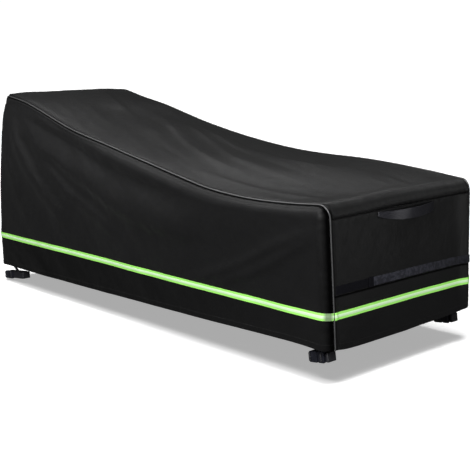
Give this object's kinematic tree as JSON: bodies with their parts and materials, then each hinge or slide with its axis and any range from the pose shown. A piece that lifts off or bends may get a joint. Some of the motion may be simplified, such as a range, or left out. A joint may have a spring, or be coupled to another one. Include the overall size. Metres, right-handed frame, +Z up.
{
  "type": "outdoor chaise lounge cover",
  "caption": "Fitted black cover for an outdoor chaise lounge: high sloping head end, flat seat, piped side panels, reflective tape, vented foot end with a carry handle, buckled leg straps.",
  "frame": {"origin": "under the top panel, on the centre line, at the middle of the seat, where the lounge holds the cover up", "axes": "+X along the cover from the head end to the foot end, +Y across to the far side, +Z up"},
  "size_m": [2.1176, 0.8478, 0.8781],
  "materials": {
    "cloth": "coated polyester in black, faint plain weave, soft sheen",
    "piping": "dark grey piping, satin",
    "reflective": "reflective tape, fluorescent green edges with a silver middle",
    "vent_mesh": "bluish grey mesh",
    "twill": "matte black binding",
    "grey_webbing": "ribbed grey webbing, satin",
    "black_webbing": "ribbed black webbing",
    "buckle_plastic": "black moulded plastic, semi-gloss"
  },
  "bodies": {
    "root": {"side_panel_near": "cloth", "side_panel_far": "cloth", "top_panel": "cloth", "head_end_panel": "cloth", "foot_upper_panel": "cloth", "foot_lower_panel": "cloth", "piping_near": "piping", "piping_far": "piping", "reflective_tape": "reflective", "vent_strip": "vent_mesh", "vent_end_tab": "twill", "vent_facing": "twill", "carry_handle": "grey_webbing", "strap_near_foot": "black_webbing", "buckle_socket_near_foot": "buckle_plastic", "buckle_plug_near_foot": "buckle_plastic", "strap_tab_near_foot": "black_webbing", "strap_far_foot": "black_webbing", "buckle_socket_far_foot": "buckle_plastic", "buckle_plug_far_foot": "buckle_plastic", "strap_tab_far_foot": "black_webbing", "strap_near_head": "black_webbing", "buckle_socket_near_head": "buckle_plastic", "buckle_plug_near_head": "buckle_plastic", "strap_tab_near_head": "black_webbing", "strap_far_head": "black_webbing", "buckle_socket_far_head": "buckle_plastic", "buckle_plug_far_head": "buckle_plastic", "strap_tab_far_head": "black_webbing"}
  },
  "joints": []
}
